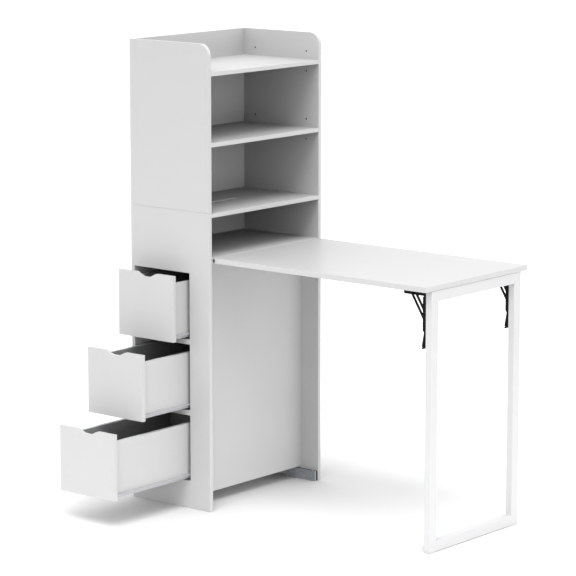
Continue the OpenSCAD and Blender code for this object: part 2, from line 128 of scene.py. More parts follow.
class DeskSizes(bpy.types.PropertyGroup):
    """Sizes of the small fittings and of the studio."""

    board_edge: bpy.props.FloatProperty(
        name="Board edge", description="Rounding of the edges of the boards", default=0.7 * MM, unit="LENGTH"
    )
    tube_edge: bpy.props.FloatProperty(
        name="Tube edge", description="Rounding of the edges of the steel tube", default=0.8 * MM, unit="LENGTH"
    )
    joint_edge: bpy.props.FloatProperty(
        name="Joint edge", description="Rounding of edges that meet at a joint", default=0.35 * MM, unit="LENGTH"
    )
    sheet_edge: bpy.props.FloatProperty(
        name="Sheet edge", description="Rounding of the edges of sheet steel", default=0.25 * MM, unit="LENGTH"
    )
    screw_radius: bpy.props.FloatProperty(
        name="Screw head", description="Radius of a pan head screw", default=3.4 * MM, unit="LENGTH"
    )
    screw_height: bpy.props.FloatProperty(
        name="Screw head height", description="Height of a pan head screw", default=1.9 * MM, unit="LENGTH"
    )
    cam_radius: bpy.props.FloatProperty(
        name="Cam fitting", description="Radius of a cam fitting in a board", default=7.5 * MM, unit="LENGTH"
    )
    bead: bpy.props.FloatProperty(
        name="Weld bead", description="Leg length of the weld beads in the leg frame", default=2.4 * MM, unit="LENGTH"
    )
    floor_span: bpy.props.FloatProperty(
        name="Floor", description="Side of the studio floor", default=120.0, unit="LENGTH"
    )


class DeskColours(bpy.types.PropertyGroup):
    """Colours of the finishes."""

    board: bpy.props.FloatVectorProperty(
        name="Board", description="White melamine facing", default=linear(0xE3E3E3), subtype="COLOR"
    )
    leaf: bpy.props.FloatVectorProperty(
        name="Leaf", description="White melamine of the desk leaf", default=linear(0xDFDFDF), subtype="COLOR"
    )
    # Painted shade: grey on the inner faces of the drawers
    inner_shade_colour: bpy.props.FloatVectorProperty(
        name="Drawer lining", description="Grey foil inside the drawers", default=linear(0xAEAFB1), subtype="COLOR"
    )
    tube: bpy.props.FloatVectorProperty(
        name="Leg frame", description="White powder coat", default=linear(0xEEEEEF), subtype="COLOR"
    )
    fitting: bpy.props.FloatVectorProperty(
        name="White fittings", description="White enamel of slides and pivots", default=linear(0xDDDEE1),
        subtype="COLOR"
    )
    bracket: bpy.props.FloatVectorProperty(
        name="Brackets", description="Black powder coat", default=linear(0x0A0A0B), subtype="COLOR"
    )
    zinc: bpy.props.FloatVectorProperty(
        name="Zinc", description="Zinc of screws and cams", default=linear(0xB4B7BB), subtype="COLOR"
    )
    galvanised: bpy.props.FloatVectorProperty(
        name="Foot plate", description="Hot-dip galvanised steel", default=linear(0xD2D7DD), subtype="COLOR"
    )
    # Painted shade: the dark of the gaps at the ends of the leaf, on small plates
    corner_gap_shade: bpy.props.FloatVectorProperty(
        name="Bumpers", description="Moulded grey rubber", default=linear(0x58585A), subtype="COLOR"
    )
    # Painted shade: the dark of the shelf pin holes and of the gap behind the foot plate
    hole_and_gap_shade: bpy.props.FloatVectorProperty(
        name="Sleeves", description="Dark moulded sleeves and pads", default=linear(0x2B2B2C), subtype="COLOR"
    )
    plastic: bpy.props.FloatVectorProperty(
        name="Plugs", description="White moulded plastic", default=linear(0xE4E4E5), subtype="COLOR"
    )
    floor: bpy.props.FloatVectorProperty(
        name="Floor", description="Studio floor", default=linear(0xFFFFFF), subtype="COLOR"
    )


def add_node(tree, kind, settings=(), links=()):
    """A new node. Settings go to inputs of that name or number, or else to the node itself; links are sockets."""
    node = tree.nodes.new(kind)
    for key, value in dict(settings).items():
        if isinstance(key, int) or key in node.inputs:
            node.inputs[key].default_value = value
        else:
            setattr(node, key, value)
    for key, socket in dict(links).items():
        tree.links.new(socket, node.inputs[key])
    return node


def new_material(name):
    """An empty node material, and its tree."""
    material = bpy.data.materials.new(name)
    material.use_nodes = True
    tree = material.node_tree
    tree.nodes.clear()
    return material, tree


def shade(name, colour, roughness, *, grain_mm, grain_depth, cloud_mm=120.0, cloud=0.03, metallic=0.0,
          ior=1.5, edge_axis=None, edge_tone=1.0, shade_facing=None, inner_shade_colour=None, streak_mm=0.0, streak=0.0,
          rough_spread=0.06, spangle_mm=0.0):
    """A finish with slow clouding of its colour and gloss, and a fine surface grain.

    Where asked it has streaks along the height, a spangle of metal flakes, another tone on the edges of a board
    that lies square to edge_axis, which is edging and partly a painted highlight, and a painted shade of grey on
    the faces that look into a drawer.
    """
    material, tree = new_material(name)
    place = add_node(tree, "ShaderNodeTexCoord")
    clouds = add_node(tree, "ShaderNodeTexNoise", {"Scale": 1 / (cloud_mm * MM), "Detail": 3.0},
                      {"Vector": place.outputs["Object"]})
    tone = add_node(tree, "ShaderNodeMapRange", {"To Min": 1.0 - cloud, "To Max": 1.0 + cloud * CLOUD_LIFT},
                    {"Value": clouds.outputs["Fac"]}).outputs["Result"]
    if streak:
        stretch = add_node(tree, "ShaderNodeMapping", {"Scale": (1.0, 1.0, STREAK_SLIMNESS)},
                           {"Vector": place.outputs["Object"]})
        lines = add_node(tree, "ShaderNodeTexNoise", {"Scale": 1 / (streak_mm * MM), "Detail": 2.0},
                         {"Vector": stretch.outputs["Vector"]})
        marks = add_node(tree, "ShaderNodeMapRange", {"To Min": 1.0 - streak, "To Max": 1.0},
                         {"Value": lines.outputs["Fac"]})
        tone = add_node(tree, "ShaderNodeMath", {"operation": "MULTIPLY"},
                        {0: tone, 1: marks.outputs["Result"]}).outputs["Value"]
    if spangle_mm:
        cells = add_node(tree, "ShaderNodeTexVoronoi", {"Scale": 1 / (spangle_mm * MM)},
                         {"Vector": place.outputs["Object"]})
        flakes = add_node(tree, "ShaderNodeMapRange", {"To Min": SPANGLE_TONES[0], "To Max": SPANGLE_TONES[1]},
                          {"Value": cells.outputs["Color"]})
        tone = add_node(tree, "ShaderNodeMath", {"operation": "MULTIPLY"},
                        {0: tone, 1: flakes.outputs["Result"]}).outputs["Value"]
    base = add_node(tree, "ShaderNodeVectorMath", {"operation": "SCALE", 0: colour},
                    {"Scale": tone}).outputs["Vector"]
    rough = add_node(tree, "ShaderNodeMapRange",
                     {"To Min": roughness - rough_spread, "To Max": roughness + rough_spread},
                     {"Value": clouds.outputs["Fac"]}).outputs["Result"]
    if edge_axis is not None:
        across = add_node(tree, "ShaderNodeVectorMath", {"operation": "DOT_PRODUCT", 1: edge_axis},
                          {0: place.outputs["Normal"]})
        facing = add_node(tree, "ShaderNodeMath", {"operation": "ABSOLUTE"}, {0: across.outputs["Value"]})
        on_edge = add_node(tree, "ShaderNodeMath", {"operation": "LESS_THAN", 1: FACE_COSINE},
                           {0: facing.outputs["Value"]})
        base = add_node(tree, "ShaderNodeMix", {"data_type": "RGBA", 7: (*(c * edge_tone for c in colour), 1.0)},
                        {0: on_edge.outputs["Value"], 6: base}).outputs[2]
        rough = add_node(tree, "ShaderNodeMix", {"data_type": "FLOAT", 3: roughness * EDGING_ROUGHNESS},
                         {0: on_edge.outputs["Value"], 2: rough}).outputs[0]
    if shade_facing is not None:
        inward = add_node(tree, "ShaderNodeVectorMath", {"operation": "DOT_PRODUCT", 1: shade_facing},
                          {0: place.outputs["Normal"]})
        in_painted_shade = add_node(tree, "ShaderNodeMath", {"operation": "GREATER_THAN", 1: INSIDE_COSINE},
                          {0: inward.outputs["Value"]})
        base = add_node(tree, "ShaderNodeMix", {"data_type": "RGBA", 7: (*inner_shade_colour, 1.0)},
                        {0: in_painted_shade.outputs["Value"], 6: base}).outputs[2]
    grain = add_node(tree, "ShaderNodeTexNoise", {"Scale": 1 / (grain_mm * MM), "Detail": 2.0},
                     {"Vector": place.outputs["Object"]})
    bump = add_node(tree, "ShaderNodeBump", {"Strength": 1.0, "Distance": grain_depth * MM},
                    {"Height": grain.outputs["Fac"]})
    surface = add_node(tree, "ShaderNodeBsdfPrincipled", {"Metallic": metallic},
                       {"Base Color": base, "Roughness": rough, "Normal": bump.outputs["Normal"]})
    if not metallic:
        surface.inputs["IOR"].default_value = ior
    add_node(tree, "ShaderNodeOutputMaterial", (), {"Surface": surface.outputs["BSDF"]})
    return material


def finish_node(name, material, edge=0.0):
    """Gives a CAD part its finish and rounds its sharp edges."""
    part = NODES[name]
    if not part.material_slots:
        part.data.materials.append(material)
    for holder in part.material_slots:
        holder.material = material
    if edge:
        weld = part.modifiers.new("one_skin", "WELD")
        weld.merge_threshold = SAME_POINT
        soft = part.modifiers.new("edge_rounding", "BEVEL")
        soft.width = edge
        soft.segments = 2
        soft.limit_method = "ANGLE"
        soft.angle_limit = math.radians(ROUNDED_OVER)
        soft.harden_normals = True


def new_piece(name, mesh, material, body):
    """A piece from a bmesh, riding on a body and finished as one of the record's slots."""
    bmesh.ops.recalc_face_normals(mesh, faces=mesh.faces)
    data = bpy.data.meshes.new(name)
    mesh.to_mesh(data)
    mesh.free()
    data.materials.append(material)
    data.shade_smooth()
    data.set_sharp_from_angle(angle=math.radians(SHARP_OVER))
    piece = bpy.data.objects.new(name, data)
    bpy.context.scene.collection.objects.link(piece)
    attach(piece, body)


def skin(mesh, rings):
    """A closed solid over rings of points, in order, with a face at each end."""
    rings = [[mesh.verts.new(point) for point in ring] for ring in rings]
    count = len(rings[0])
    for ring, following in zip(rings, rings[1:]):
        for i in range(count):
            j = (i + 1) % count
            mesh.faces.new((ring[i], ring[j], following[j], following[i]))
    mesh.faces.new(rings[0][::-1])
    mesh.faces.new(rings[-1])


def cut_plate(mesh, outline, y_start, y_end):
    """A plate standing in the XZ plane, with this outline, between two places along Y."""
    skin(mesh, [[(x, y, z) for x, z in outline] for y in (y_start, y_end)])


def thin_plate(mesh, low, high, radius):
    """A plate standing in the XZ plane with rounded corners, from one corner point to the other."""
    corners = [(high[0], high[2], 0), (low[0], high[2], 90), (low[0], low[2], 180), (high[0], low[2], 270)]
    steps = 4
    outline = []
    for x, z, start in corners:
        centre_x = x + radius if x == low[0] else x - radius
        centre_z = z + radius if z == low[2] else z - radius
        for step in range(steps + 1):
            angle = math.radians(start + 90 * step / steps)
            outline.append((centre_x + radius * math.cos(angle), centre_z + radius * math.sin(angle)))
    cut_plate(mesh, outline, low[1], high[1])


def cross_outline(half_width, half_length):
    """As many points round the cross recess of a screw as a round fitting has sides."""
    w, r = half_width, half_length
    corners = [(r, -w), (r, w), (w, w), (w, r), (-w, r), (-w, w), (-r, w), (-r, -w), (-w, -w), (-w, -r), (w, -r),
               (w, -w)]
    points = []
    for (xa, ya), (xb, yb) in zip(corners, corners[1:] + corners[:1]):
        points += [(xa, ya), ((xa + xb) / 2, (ya + yb) / 2)]
    return points


def turned(mesh, centre, axis, profile, recess=0.0):
    """A round fitting: the profile gives radius and height along the axis; a cross recess is sunk in its top."""
    angles = [math.pi * (2 * i - 1) / ROUND_SIDES for i in range(ROUND_SIDES)]
    rings = [[(radius * math.cos(a), radius * math.sin(a), height) for a in angles] for radius, height in profile]
    if recess:
        top_radius, top_height = profile[-1]
        cross = cross_outline(top_radius * CROSS_WIDTH, top_radius * CROSS_LENGTH)
        rings += [[(x, y, height) for x, y in cross] for height in (top_height, top_height - recess)]
    turn = Vector((0, 0, 1)).rotation_difference(Vector(axis)).to_matrix().to_4x4()
    place = Matrix.Translation(centre) @ turn
    skin(mesh, [[place @ Vector(point) for point in ring] for ring in rings])


def pan_head(sizes):
    """Profile of a pan head screw."""
    r, h = sizes.screw_radius, sizes.screw_height
    return [(r, 0), (r, 0.3 * h), (0.93 * r, 0.62 * h), (0.76 * r, 0.88 * h), (0.55 * r, h)]


def rivet_head(radius, height):
    """Profile of a domed rivet head."""
    return [(radius, 0), (radius, 0.25 * height), (0.88 * radius, 0.6 * height), (0.6 * radius, 0.88 * height),
            (0.25 * radius, height)]


def cam_face(radius):
    """Profile of the visible face of a cam fitting, nearly flush with its board."""
    return [(radius, -0.2 * MM), (radius, 0.15 * MM), (0.95 * radius, 0.3 * MM), (0.8 * radius, 0.3 * MM)]


def sunk_head():
    """Profile of a countersunk screw head, nearly flush with its board."""
    return [(3.6 * MM, -0.3 * MM), (3.6 * MM, 0.1 * MM), (3.3 * MM, 0.2 * MM), (3.0 * MM, 0.2 * MM)]


def pin_hole_shade_cup():
    """Profile of the dark cup that paints the shade in a hole for a shelf pin: up its outside, over its rim and down
    its bore.
    """
    outer, bore = 2.4 * MM, 2.0 * MM
    rim, bore_end, end = -0.1 * MM, -7.3 * MM, -7.8 * MM
    return [(outer, end), (outer, rim), (bore, rim), (bore, bore_end)]


def weld_bead(mesh, x_start, x_end, y, out, z, up, leg):
    """A fillet of weld along X in the corner at y, z, with a slightly rippled hollow face."""
    steps, ripple = 14, 0.1
    rings = []
    for i in range(steps + 1):
        x = x_start + (x_end - x_start) * i / steps
        size = leg * (1.0 - ripple * ((i + 1) % 2))
        section = [(0, 0), (size, 0), (size * 0.48, size * 0.22), (size * 0.22, size * 0.48), (0, size)]
        rings.append([(x, y + out * a, z + up * b) for a, b in section])
    skin(mesh, rings)


def ground_seam(mesh, x, out, y, z_start, z_end):
    """A weld along Z, ground nearly flush with the face at x; it fills the groove between two tubes."""
    # Section in mm: across the seam, and out of the face
    section = [(-1.5, -0.4), (-1.5, 0.03), (-0.7, 0.12), (0.7, 0.12), (1.5, 0.03), (1.5, -0.4)]
    skin(mesh, [[(x + out * high * MM, y + across * MM, z) for across, high in section]
                for z in (z_start, (z_start + z_end) / 2, z_end)])


class BoardFinish(bpy.types.Operator):
    """Finish the carcass boards in white melamine with ABS edging"""

    bl_idname = "desk_cabinet.boards"
    bl_label = "Carcass boards"

    def execute(self, context):
        sizes, colours = context.scene.desk_sizes, context.scene.desk_colours
        by_axis = {(1, 0, 0): ("back_panel", "recess_panel"),
                   (0, 1, 0): ("side_left_upper", "side_left_lower", "side_right"),
                   (0, 0, 1): ("shelf_top", "shelf_middle", "shelf_lower", "leaf_shelf", "divider_upper",
                               "divider_lower", "bottom_board")}
        for number, (axis, names) in enumerate(by_axis.items()):
            # Melamine paper pressed on particle board: an even off-white with a pearl grain that breaks up
            # reflections. The grain is 0.4 mm in life and is drawn at 1.6 mm. Edging is a little smoother.
            material = shade(f"melamine_board_{number}", colours.board, 0.46, grain_mm=1.6, grain_depth=0.05,
                             cloud_mm=140, cloud=0.025, edge_axis=axis, edge_tone=1.01)
            for name in names:
                # The two boards of the drawers' side meet at a fine joint
                edge = sizes.joint_edge if name.startswith("side_left") else sizes.board_edge
                finish_node(name, material, edge)
        return {"FINISHED"}


class DrawerFinish(bpy.types.Operator):
    """Finish the drawer fronts and boxes"""

    bl_idname = "desk_cabinet.drawers"
    bl_label = "Drawers"

    def execute(self, context):
        sizes, colours = context.scene.desk_sizes, context.scene.desk_colours
        # Each board's axis, and the way its inner face looks, which is painted in shade
        parts = {"front": ((0, 1, 0), (0, 1, 0)), "side_back": ((1, 0, 0), (1, 0, 0)),
                 "side_front": ((1, 0, 0), (-1, 0, 0)), "rear": ((0, 1, 0), (0, -1, 0)),
                 "base": ((0, 0, 1), (0, 0, 1))}
        for part, (axis, inward) in parts.items():
            # Foil-wrapped board: white outside with faint 9 mm roller marks down the sides, and a painted shade of
            # mid grey on its inner faces. The foil's grain is 0.4 mm in life and is drawn at 1.6 mm.
            material = shade(f"foiled_board_{part}", colours.board, 0.44, grain_mm=1.6, grain_depth=0.05,
                             cloud_mm=90, cloud=0.02, edge_axis=axis, shade_facing=inward, inner_shade_colour=colours.inner_shade_colour,
                             streak_mm=9, streak=0.03 if part.startswith("side") else 0.0)
            for level in LEVELS:
                finish_node(f"{part}_{level}", material, sizes.board_edge)
        return {"FINISHED"}


class SlideFinish(bpy.types.Operator):
    """Finish the drawer slides and add their rivets"""

    bl_idname = "desk_cabinet.slides"
    bl_label = "Drawer slides"

    def execute(self, context):
        colours = context.scene.desk_colours
        # Steel strip in baked white enamel: slightly blue, smooth, with a soft gloss. Its fine waviness is
        # 0.5 mm in life and is drawn at 1.2 mm.
        enamel = shade("white_enamel_slide", colours.fitting, 0.3, grain_mm=1.2, grain_depth=0.02, cloud=0.02)
        # Rivets stand on the outer face of each runner's web, at these shares of its length
        rivet_radius, rivet_height = 2.4 * MM, 0.9 * MM
        web_inset, web_height = 7.8 * MM, 9.8 * MM
        rivet_shares = (0.1, 0.46, 0.82)
        for level in LEVELS:
            finish_node(f"rails_{level}", enamel)
            finish_node(f"runners_{level}", enamel)
            low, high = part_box(f"runners_{level}")
            mesh = bmesh.new()
            for share in rivet_shares:
                y = low.y + (high.y - low.y) * share
                for x, side in ((low.x + web_inset, -1), (high.x - web_inset, 1)):
                    turned(mesh, (x, y, low.z + web_height), (side, 0, 0), rivet_head(rivet_radius, rivet_height))
            new_piece(f"screws_runner_{level}", mesh, enamel, f"drawer_{level}")
        return {"FINISHED"}


class LeafFinish(bpy.types.Operator):
    """Finish the desk leaf and its pivot fittings, and add dark corner plates that paint the shade of the gaps by its
    ends, and screws
    """

    bl_idname = "desk_cabinet.leaf"
    bl_label = "Leaf and pivots"

    def execute(self, context):
        sizes, colours = context.scene.desk_sizes, context.scene.desk_colours
        # Desk grade melamine: closed and smoother to write on, its face a shade greyer than its edging. The whiter
        # edging is partly real and partly painted light that keeps the sides as bright as the better lit top. The
        # grain is 0.5 mm in life and is drawn at 2 mm.
        desk = shade("melamine_desk_leaf", colours.leaf, 0.4, grain_mm=2.0, grain_depth=0.04, cloud_mm=180,
                     cloud=0.02, edge_axis=(0, 0, 1), edge_tone=1.05)
        finish_node("leaf_board", desk, sizes.board_edge)
        # Painted shade: dull mid grey plates with a matt skin stand for the shade in the gaps at the leaf's ends; the
        # skin's
        # 0.2 mm grain is drawn at 0.8 mm.
        gap_shade_finish = shade("painted_gap_shade", colours.corner_gap_shade, 0.7, grain_mm=0.8, grain_depth=0.02, cloud=0.05)
        thickness, length, margin, corner = 2.4 * MM, 5.5 * MM, 3 * MM, 1.2 * MM
        low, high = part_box("leaf_board")
        for end, y_start, y_end in (("near", low.y - thickness, low.y), ("far", high.y, high.y + thickness)):
            mesh = bmesh.new()
            thin_plate(mesh, (low.x, y_start, low.z + margin), (low.x + length, y_end, high.z - margin), corner)
            new_piece(f"corner_gap_shade_plate_{end}", mesh, gap_shade_finish, "leaf")
        # Pressed steel in white enamel: smooth, with the same soft gloss and waviness as the slides.
        enamel = shade("white_enamel_pivot", colours.fitting, 0.34, grain_mm=1.2, grain_depth=0.03, cloud=0.02)
        # Zinc-plated steel screws: bright grey metal, clouded over 4 mm. The plating's 0.1 mm grain is drawn at
        # 0.8 mm.
        zinc = shade("zinc_screw_pivot", colours.zinc, 0.32, grain_mm=0.8, grain_depth=0.01, metallic=1.0,
                     cloud_mm=4, cloud=0.1)
        # Screws under the flange of each fitting: their distances from its rear end, and from its side
        screw_places = {"pivot_arm": (14 * MM, 38 * MM), "leaf_lug": (10 * MM, 36 * MM)}
        from_side, flange = 10 * MM, 3 * MM
        for end in ENDS:
            finish_node(f"pivot_arm_{end}", enamel, sizes.sheet_edge)
            finish_node(f"leaf_lug_{end}", enamel, sizes.sheet_edge)
            for part, body in (("pivot_arm", "cabinet"), ("leaf_lug", "leaf")):
                low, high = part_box(f"{part}_{end}")
                y = high.y - from_side if end == "near" else low.y + from_side
                mesh = bmesh.new()
                for distance in screw_places[part]:
                    turned(mesh, (low.x + distance, y, high.z - flange), (0, 0, -1), pan_head(sizes), SCREW_RECESS)
                new_piece(f"screws_{part}_{end}", mesh, zinc, body)
        return {"FINISHED"}


class LegFinish(bpy.types.Operator):
    """Finish the leg frame and add its weld beads"""

    bl_idname = "desk_cabinet.leg"
    bl_label = "Leg frame"

    def execute(self, context):
        sizes, colours = context.scene.desk_sizes, context.scene.desk_colours
        # Powder-coated steel tube: bright white with a faint orange peel, 1 mm in life and drawn at 2 mm.
        coat = shade("white_powder_coat", colours.tube, 0.36, grain_mm=2.0, grain_depth=0.05, cloud_mm=60,
                     cloud=0.015)
        for name in ("post_near", "post_far", "leg_top_rail", "leg_bottom_rail"):
            finish_node(name, coat, sizes.tube_edge if name.startswith("post") else sizes.joint_edge)
        # Moulded polyethylene plugs: softer white than the tube, slightly waxy. Their skin's 0.5 mm grain is drawn
        # at 1.5 mm.
        plastic = shade("moulded_plug", colours.plastic, 0.5, grain_mm=1.5, grain_depth=0.03, cloud=0.02)
        finish_node("post_caps", plastic, sizes.sheet_edge)
        # Beads in the corners inside the frame, and seams down its faces, each a little short of the tube's edges
        bead_inset, seam_inset = 2 * MM, 1 * MM
        mesh = bmesh.new()
        for rail, up in (("leg_top_rail", -1), ("leg_bottom_rail", 1)):
            low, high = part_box(rail)
            z = low.z if up < 0 else high.z
            for y, out in ((low.y, 1), (high.y, -1)):
                weld_bead(mesh, low.x + bead_inset, high.x - bead_inset, y, out, z, up, sizes.bead)
                for x, out_x in ((low.x, -1), (high.x, 1)):
                    ground_seam(mesh, x, out_x, y, low.z + seam_inset, high.z - seam_inset)
        new_piece("weld_beads", mesh, coat, "leg")
        return {"FINISHED"}


class BracketFinish(bpy.types.Operator):
    """Finish the folding brackets, their links and levers, and add screws, guide strips and outer cheeks"""

    bl_idname = "desk_cabinet.brackets"
    bl_label = "Folding brackets"

    def execute(self, context):
        sizes, colours = context.scene.desk_sizes, context.scene.desk_colours
        # Black powder-coated sheet steel: deep, slightly soft black with a fine tooth that catches a grey sheen.
        # The tooth is 0.3 mm in life and is drawn at 1 mm.
        black = shade("black_powder_coat", colours.bracket, 0.42, grain_mm=1.0, grain_depth=0.03, cloud_mm=20,
                      cloud=0.1, ior=1.33)
        # Screws inside the upper channel, under its web: their distances from its rear end
        screw_places, web = (8 * MM, 48 * MM), 1.5 * MM
        # Spring strips inside the cheeks of both lower channels: height over its foot and length of each
        strips = (("bracket_leg", 0.3 * MM, 28 * MM), ("bracket_tail", 2 * MM, 38 * MM))
        strip_thickness, strip_depth, strip_corner = 0.8 * MM, 5.0 * MM, 0.6 * MM
        cheek_gap, web_gap = 1.6 * MM, 1.6 * MM
        # Outer cheeks beside the links: distance of their inner face from the bracket's middle, and thickness
        cheek_reach, cheek_thickness = 10.5 * MM, 2 * MM
        for end in ENDS:
            for part in ("bracket_top", "bracket_leg", "bracket_tail", "lever", "link"):
                finish_node(f"{part}_{end}", black, sizes.sheet_edge if part in ("bracket_top", "link") else 0.0)
            low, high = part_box(f"bracket_top_{end}")
            middle = (low.y + high.y) / 2
            mesh = bmesh.new()
            for distance in screw_places:
                turned(mesh, (low.x + distance, middle, high.z - web), (0, 0, -1), pan_head(sizes), SCREW_RECESS)
            new_piece(f"screws_bracket_{end}", mesh, black, "leaf")

            mesh = bmesh.new()
            for part, over_foot, length in strips:
                low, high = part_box(f"{part}_{end}")
                x, z = high.x - web_gap, low.z + over_foot
                for y in (low.y + cheek_gap, high.y - cheek_gap - strip_thickness):
                    thin_plate(mesh, (x - strip_depth, y, z), (x, y + strip_thickness, z + length), strip_corner)
            new_piece(f"guide_strips_{end}", mesh, black, "leg")

            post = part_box(f"post_{end}")[0]
            foot, tail_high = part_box(f"bracket_tail_{end}")
            middle = (foot.y + tail_high.y) / 2
            outline = [(post.x + x * MM, foot.z + z * MM) for x, z in CHEEK_OUTLINE]
            mesh = bmesh.new()
            for y in (middle - cheek_reach - cheek_thickness, middle + cheek_reach):
                cut_plate(mesh, outline, y, y + cheek_thickness)
            new_piece(f"outer_cheeks_{end}", mesh, black, "leg")
        return {"FINISHED"}


class FootFinish(bpy.types.Operator):
    """Finish the foot plate and add its bolt heads and dark plates behind it that paint the shade in its gap"""

    bl_idname = "desk_cabinet.foot"
    bl_label = "Foot plate"

    def execute(self, context):
        sizes, colours = context.scene.desk_sizes, context.scene.desk_colours
        # Hot-dip galvanised steel: matt grey metal with 7 mm spangle and streaks 3 mm wide, its top and end faces
        # painted lighter as a painted highlight. The coating's 0.5 mm grain is drawn at 1.5 mm.
        galvanised = shade("galvanised_plate", colours.galvanised, 0.42, grain_mm=1.5, grain_depth=0.03,
                           metallic=0.6, cloud_mm=25, cloud=0.12, streak_mm=3, streak=0.06, rough_spread=0.08,
                           spangle_mm=7, edge_axis=(0, 1, 0), edge_tone=1.25)
        finish_node("foot_plate", galvanised, sizes.sheet_edge)
        finish_node("foot_spacers", galvanised)
        bolt_shares, bolt_height = (0.16, 0.86), 15 * MM
        low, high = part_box("foot_plate")
        mesh = bmesh.new()
        for share in bolt_shares:
            x = low.x + (high.x - low.x) * share
            turned(mesh, (x, low.y, bolt_height), (0, -1, 0), pan_head(sizes), SCREW_RECESS)
        new_piece("bolts_foot_plate", mesh, galvanised, "cabinet")
        # Painted shade: dark grey, dull plates fill the gap behind the plate, beside its spacers, and stand for the
        # shade in it.
        # Their skin's 0.3 mm grain is drawn at 1 mm.
        plate_gap_shade = shade("painted_plate_gap_shade", colours.hole_and_gap_shade, 0.65, grain_mm=1.0, grain_depth=0.02, cloud=0.05)
        front_margin, rear_margin, margin, corner = 2 * MM, 1 * MM, 1 * MM, 1.5 * MM
        spacer_width, outer_gap, inner_gap = 12 * MM, 0.5 * MM, 1.0 * MM
        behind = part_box("side_right")[0].y
        spacer_low, spacer_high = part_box("foot_spacers")
        past_spacer = spacer_width + inner_gap
        spans = ((low.x + rear_margin, spacer_low.x - outer_gap),
                 (spacer_low.x + past_spacer, spacer_high.x - past_spacer),
                 (spacer_high.x + outer_gap, high.x - front_margin))
        mesh = bmesh.new()
        for x_start, x_end in spans:
            thin_plate(mesh, (x_start, high.y, low.z + margin), (x_end, behind, high.z - margin), corner)
        new_piece("gap_shade_foot_plate", mesh, plate_gap_shade, "cabinet")
        return {"FINISHED"}


class CarcassFittings(bpy.types.Operator):
    """Add the cam fittings under the shelves, dark cups that paint the shade in the shelf pin holes, and the screws
    in the back
    """

    bl_idname = "desk_cabinet.fittings"
    bl_label = "Cams, sleeves and screws"

    def execute(self, context):
        sizes, colours = context.scene.desk_sizes, context.scene.desk_colours
        # Die-cast zinc cams: dull grey metal, a little rough from the mould, with 0.3 mm grain drawn at 0.9 mm.
        cast = shade("die_cast_cam", colours.zinc, 0.5, grain_mm=0.9, grain_depth=0.04, metallic=1.0, cloud_mm=6,
                     cloud=0.12)
        cam_from_end, cam_from_edge = 24 * MM, 50 * MM
        for shelf in ("shelf_top", "shelf_middle", "shelf_lower", "leaf_shelf"):
            low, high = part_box(shelf)
            mesh = bmesh.new()
            for y in (low.y + cam_from_end, high.y - cam_from_end):
                for x in (low.x + cam_from_edge, high.x - cam_from_edge):
                    turned(mesh, (x, y, low.z), (0, 0, -1), cam_face(sizes.cam_radius), CAM_RECESS)
            new_piece(f"cams_{shelf}", mesh, cast, "cabinet")

        # Painted shade: dark grey, dull cups in the holes for shelf pins stand for the shade down the holes, with 0.2
        # mm grain drawn at 0.8 mm.
        dark = shade("painted_hole_shade", colours.hole_and_gap_shade, 0.6, grain_mm=0.8, grain_depth=0.01, cloud=0.05)
        # The holes lie this far from the side's rear and front edges, and over and under each shelf's top
        hole_from_rear, hole_from_front, hole_over, hole_under = 44 * MM, 47.3 * MM, 23.2 * MM, 35.6 * MM
        side_low, side_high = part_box("side_right")
        mesh = bmesh.new()
        for shelf in ("shelf_top", "shelf_middle"):
            low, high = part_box(shelf)
            for x in (side_low.x + hole_from_rear, side_high.x - hole_from_front):
                for z in (high.z + hole_over, high.z - hole_under):
                    for y, inward in ((low.y, 1), (high.y, -1)):
                        turned(mesh, (x, y, z), (0, inward, 0), pin_hole_shade_cup())
        new_piece("pin_hole_shade_cups", mesh, dark, "cabinet")

        # Screws into the rear edge of each shelf, at these shares of its length
        screw_shares = (0.15, 0.5, 0.85)
        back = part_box("back_panel")[0]
        mesh = bmesh.new()
        for shelf in ("shelf_top", "shelf_middle", "shelf_lower", "leaf_shelf", "divider_upper", "divider_lower"):
            low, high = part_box(shelf)
            for share in screw_shares:
                y = low.y + (high.y - low.y) * share
                turned(mesh, (back.x, y, (low.z + high.z) / 2), (-1, 0, 0), sunk_head(), SCREW_RECESS)
        new_piece("screws_back_panel", mesh, cast, "cabinet")
        return {"FINISHED"}


